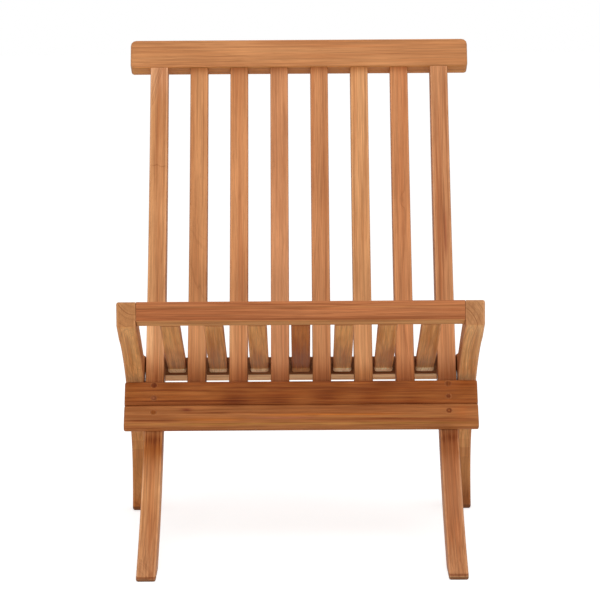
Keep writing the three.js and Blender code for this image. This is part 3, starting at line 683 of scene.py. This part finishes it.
# Painted light: a pale heel ends each seat slat, on the crossbar, where it lies in shade, and the
# underside above it is lightened too.
HEEL_DEPTH = 0.0185  # under the crossbar's top
PAINTED_LIGHT_ON_HEEL = (1.75, 2.50, 3.20)
PAINTED_LIGHT_ABOVE_HEEL = (1.16, 1.12, 1.06)
PAINTED_HEEL_LIGHT = (1.60, 2.60, 4.40)
HALF_HEEL = 0.0045
HALF_ACROSS = 0.030  # of a mark that goes right across a piece
FRONT_FACE = -0.018  # how far through a back strip its front face lies
LEG_FRONT = -0.020  # and that of a leg just under the planks


def own_marks(name, piece):
    """The marks whose place depends on other pieces or on a height above the floor."""
    if name.startswith("seat_slat"):
        # Painted light: a pale mark on the heel.
        heel_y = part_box("rear_crossbar")[0].y + HALF_HEEL
        heel = (heel_y - piece.middle.y) / piece.axes[0].y
        return [(heel, 0.0, HALF_HEEL, HALF_ACROSS, PAINTED_HEEL_LIGHT, 1.0)]
    if not name.startswith("back_side"):
        return []
    # Painted shadow: the legs are dark where they come out from behind the planks, in their shadow.
    under = piece.along_at(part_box("lower_plank")[0].z - 0.012, LEG_FRONT)
    fade = 0.035 if name.endswith("right") else 0.022
    marks = [
        (under, 0.0, 0.010, HALF_ACROSS, (0.56, 0.40, 0.24), 1.0),
        (under - 0.008, 0.0, fade, HALF_ACROSS, (0.82, 0.71, 0.65), 1.0),
    ]
    if name.endswith("left"):
        line = piece.along_at(0.555, FRONT_FACE)
        marks.append((line, 0.0, 0.0010, HALF_ACROSS, (0.76, 0.68, 0.62), 1.0))
    else:
        streak = piece.along_at(0.45, FRONT_FACE)
        marks.append((streak, 0.005, 0.040, 0.0035, (0.68, 0.50, 0.46), 1.0))
    return marks


def own_shades(name):
    """The tones that follow the height above the floor, painted shade and painted light among them:
    (height, half height, tint).
    """
    shades = []
    if name.startswith("back"):
        plank_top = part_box("upper_plank")[1].z
        # Painted light on the strips above the planks, where the seat shades them.
        pale = PAINTED_LIGHT_ABOVE_PLANKS.get(name, FAINT_PAINTED_LIGHT)
        shades = [
            (plank_top - 0.002, 0.022, BROWN_AT_PLANKS),
            (plank_top + 0.062, 0.030, pale),
        ]
    if name.startswith("back_slat"):
        # Painted shadow under the top rail.
        shades.append((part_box("top_rail")[0].z + 0.015, 0.0100, PAINTED_SHADOW_UNDER_RAIL))
    if name.startswith("seat_slat"):
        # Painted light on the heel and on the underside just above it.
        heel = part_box("rear_crossbar")[1].z - HEEL_DEPTH
        shades = [(heel, 0.0038, PAINTED_LIGHT_ON_HEEL), (heel + 0.012, 0.010, PAINTED_LIGHT_ABOVE_HEEL)]
    return shades + SIDE_SHADES.get(name, [])


def own_knots(name, piece):
    if name == "back_slat_6":
        return [(piece.along_at(0.50, FRONT_FACE), 0.001, 0.0045)]
    return []


def wood(tone, light):
    """An albedo from honey (0) through tawny (1) to umber (2)."""
    steps = (HONEY, TAWNY, UMBER)
    below = min(int(tone), 1)
    ends = zip(steps[below], steps[below + 1])
    return tuple(light * (a + (b - a) * (tone - below)) for a, b in ends)


def family(name):
    return re.sub(r"(_\d+|_left|_right)$", "", name)


def smooth(node):
    """Rounds the shading over the eased edges and keeps the flats flat."""
    node.data.shade_smooth()
    node.data.set_sharp_from_angle(angle=math.radians(SHARP_ANGLE))
    normals = node.modifiers.new("normals", "WEIGHTED_NORMAL")
    normals.keep_sharp = True
    normals.weight = 50


for index, (name, node) in enumerate(sorted(nodes.items())):
    kind = family(name)
    rng = random.Random(TONE_SEED + index)
    if kind in FAMILIES:
        tone, light, look = FAMILIES[kind]
        tone = max(0.0, tone + rng.uniform(-0.06, 0.06))
        albedo = wood(tone, light * rng.uniform(0.98, 1.02))
        albedo = tuple(a * t for a, t in zip(albedo, TINTS.get(name, (1, 1, 1))))
        piece = Piece(node)
        look = {**look, **OWN_LOOKS.get(name, {})}
        look["marks"] = look.get("marks", []) + own_marks(name, piece)
        look["knots"] = own_knots(name, piece)
        look["shades"] = own_shades(name)
        finish = Teak(f"teak_{name}", piece, albedo, GRAIN_SEED + index, look).material
    elif kind == "plank_screw":
        finish = metal(f"brass_{name}", BRASS, 0.34, index)
    else:
        finish = metal(f"steel_{name}", STEEL, 0.30, index)
    node.data.materials.clear()
    node.data.materials.append(finish)
    smooth(node)


# ---- Floor and backdrop ----
def studio_white(name, albedo, lift):
    """White paper: diffuse to the light, and lifted by a little glow where the camera sees it."""
    g = Graph(bpy.data.materials.new(name))
    g.tree.nodes.remove(g.tree.nodes["Principled BSDF"])
    grain = g.noise(g.node("ShaderNodeTexCoord").outputs["Object"], (3.0,) * 3)
    colour = g.grey(g.range(grain, 0.3, 0.7, albedo - 0.01, albedo + 0.01))
    paper = g.node("ShaderNodeBsdfDiffuse", {"Color": colour}).outputs[0]
    strength = g.math("MULTIPLY", g.unbroken_rays(), lift)
    glow = g.node("ShaderNodeEmission", {"Strength": strength}).outputs[0]
    both = g.node("ShaderNodeAddShader", {0: paper, 1: glow}).outputs[0]
    g.put(both, g.inputs("Material Output")["Surface"])
    return g.owner


def place_in_scene(name, data):
    thing = bpy.data.objects.new(name, data)
    bpy.context.collection.objects.link(thing)
    return thing


floor_mesh = bpy.data.meshes.new("floor")
corners = [(-1, -1), (1, -1), (1, 1), (-1, 1)]
floor_mesh.from_pydata([(x * FLOOR_REACH, y * FLOOR_REACH, 0) for x, y in corners], [], [range(4)])
floor = place_in_scene("floor", floor_mesh)
floor.data.materials.append(studio_white("white_floor", FLOOR_ALBEDO, FLOOR_GLOW))

# ---- Light ----
# The world is white to the camera, and a plain light of AMBIENT to everything else.
scene = bpy.context.scene
sky = Graph(bpy.data.worlds.new("studio"))
levels = {"Value": sky.unbroken_rays(), "To Min": AMBIENT, "To Max": 1.0}
sky.put((1, 1, 1, 1), sky.inputs("Background")["Color"])
sky.put(sky.node("ShaderNodeMapRange", levels).outputs[0], sky.inputs("Background")["Strength"])
scene.world = sky.owner

target = Vector((0, pivot.y, AIM_HEIGHT))
for name, place, size, watts in SOFTBOXES:
    lamp = bpy.data.lights.new(name, "AREA")
    lamp.shape = "RECTANGLE"
    lamp.size, lamp.size_y = size
    lamp.energy = watts
    softbox = place_in_scene(name, lamp)
    softbox.location = place
    softbox.rotation_euler = (target - Vector(place)).to_track_quat("-Z", "Y").to_euler()

# ---- Camera ----
camera = place_in_scene("camera", bpy.data.cameras.new("camera"))
camera.data.lens = LENS
camera.data.sensor_width = SENSOR
camera.location = (CAMERA_ASIDE, pivot.y - CAMERA_BEFORE_PIVOT, CAMERA_HEIGHT)
tilt = Matrix.Rotation(math.radians(90 - CAMERA_PITCH), 4, "X")
roll = Matrix.Rotation(math.radians(CAMERA_ROLL), 4, "Z")
camera.rotation_euler = (tilt @ roll).to_euler()
scene.camera = camera
scene.view_settings.view_transform = "Standard"
